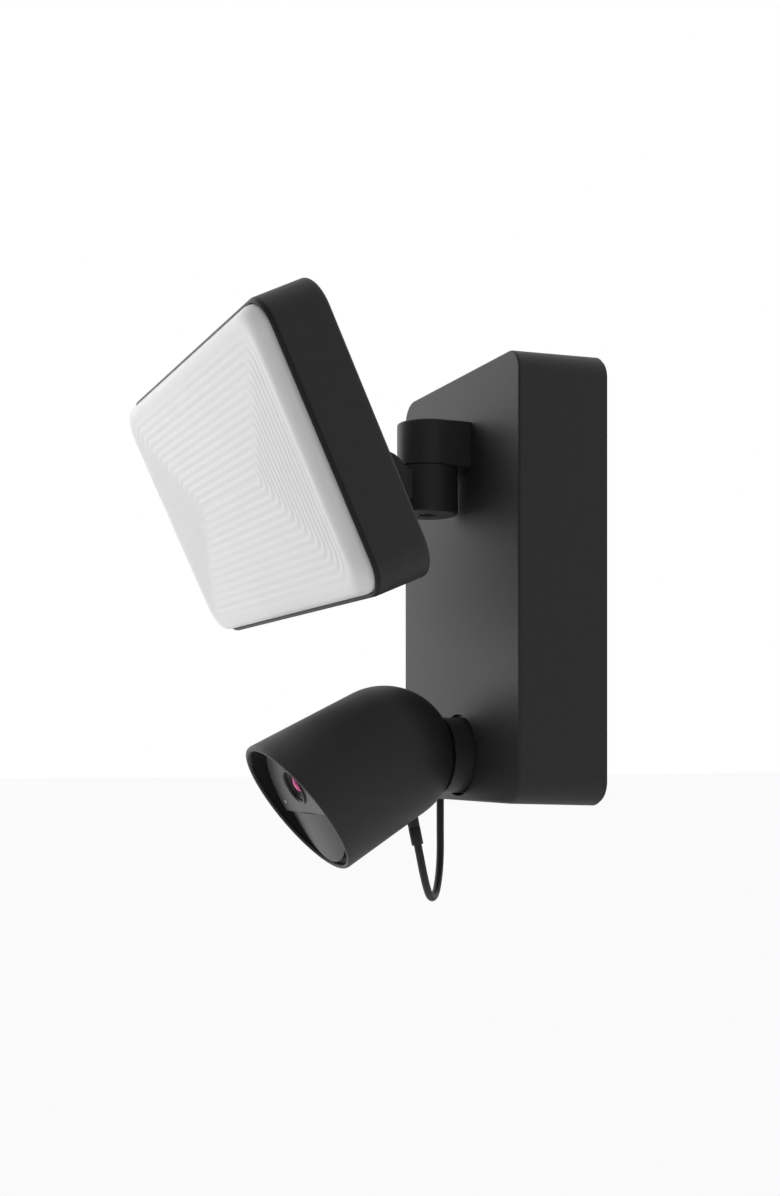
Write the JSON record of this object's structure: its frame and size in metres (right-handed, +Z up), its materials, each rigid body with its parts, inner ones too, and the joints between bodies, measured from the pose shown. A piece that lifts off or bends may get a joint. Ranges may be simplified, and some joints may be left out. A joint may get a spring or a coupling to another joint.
{
  "type": "floodlight security camera",
  "caption": "Wall-mounted security camera in a magnetic cup below a square LED floodlight on a pan and tilt joint, both on one flat rounded wall housing.",
  "frame": {"origin": "in the wall plane, at the middle of the wall plate's back face", "axes": "+X to the right as seen from in front, +Y into the wall, +Z up"},
  "size_m": [0.2346, 0.2085, 0.2936],
  "materials": {
    "charcoal_shell": "fine moulded texture, UV-stable matte charcoal",
    "charcoal_arm": "die-cast aluminium, matte charcoal powder coat",
    "diffuser_white": "milky opal, fine satin",
    "face_grey": "satin moulded",
    "pir_film": "smooth dark polyethylene window",
    "lens_black": "gloss black",
    "lens_coated": "coated optical glass with a magenta reflection",
    "soft_black": "matte elastomer",
    "zinc_steel": "zinc plated",
    "dark_steel": "black-oxide",
    "bare_aluminium": "bare, brushed",
    "circuit_green": "solder mask over copper",
    "board_white": "white solder mask on metal core",
    "led_phosphor": "silicone phosphor",
    "nickel": "nickel plated",
    "inner_black": "moulded, unpainted",
    "cream_block": "moulded",
    "washer_nylon": "nylon",
    "status_clear": "clear light pipe"
  },
  "bodies": {
    "housing": {"wall_plate": "zinc_steel", "wall_gasket": "soft_black", "housing_cover": "charcoal_shell", "cover_screws": "zinc_steel", "power_supply": "inner_black", "terminal_block": "cream_block", "main_board": "circuit_green", "light_arm": "charcoal_arm", "arm_screws": "zinc_steel", "swivel_bolt": "dark_steel", "camera_collar": "charcoal_shell", "collar_screws": "zinc_steel", "collar_magnet": "nickel", "cup_liner": "soft_black", "cable_grommet": "soft_black", "camera_cable": "soft_black"},
    "light_swivel": {"swivel_barrel": "charcoal_arm", "swivel_washer": "washer_nylon"},
    "light_head": {"head_housing": "charcoal_shell", "driver_cover": "charcoal_shell", "driver_screws": "dark_steel", "driver_board": "circuit_green", "head_yoke": "charcoal_arm", "yoke_screws": "dark_steel", "tilt_bolt": "dark_steel", "tilt_nut": "dark_steel", "tilt_washers": "washer_nylon", "heat_spreader": "bare_aluminium", "led_board": "board_white", "leds": "led_phosphor", "diffuser": "diffuser_white", "diffuser_seal": "soft_black"},
    "magnet_keeper": {"magnet_keeper": "zinc_steel"},
    "camera": {"camera_shell": "charcoal_shell", "camera_face": "face_grey", "pir_window": "pir_film", "camera_chassis": "inner_black", "pir_sensor": "nickel", "lens_ring": "lens_black", "lens_barrel": "lens_black", "lens_glass": "lens_coated", "image_board": "circuit_green", "camera_board": "circuit_green", "status_light": "status_clear", "speaker": "inner_black", "microphone": "nickel", "plug_socket": "inner_black", "camera_plug": "soft_black"}
  },
  "joints": [
    {"name": "light_pan", "type": "hinge", "parent": "housing", "child": "light_swivel", "pos_m": [0, -0.0694, 0.0543], "axis": [0, 0, 1], "range_deg": [-35, 35]},
    {"name": "light_tilt", "type": "hinge", "parent": "light_swivel", "child": "light_head", "pos_m": [0, -0.1029, 0.0543], "axis": [1, 0, 0], "range_deg": [-25, 20]},
    {"name": "camera_tilt", "type": "hinge", "parent": "housing", "child": "magnet_keeper", "pos_m": [0, -0.0949, -0.0905], "axis": [1, 0, 0], "range_deg": [-30, 12], "deforming": ["camera_cable"]},
    {"name": "camera_pan", "type": "hinge", "parent": "magnet_keeper", "child": "camera", "pos_m": [0, -0.0949, -0.0905], "axis": [0, -0.4924, 0.8704], "range_deg": [-35, 35]}
  ]
}
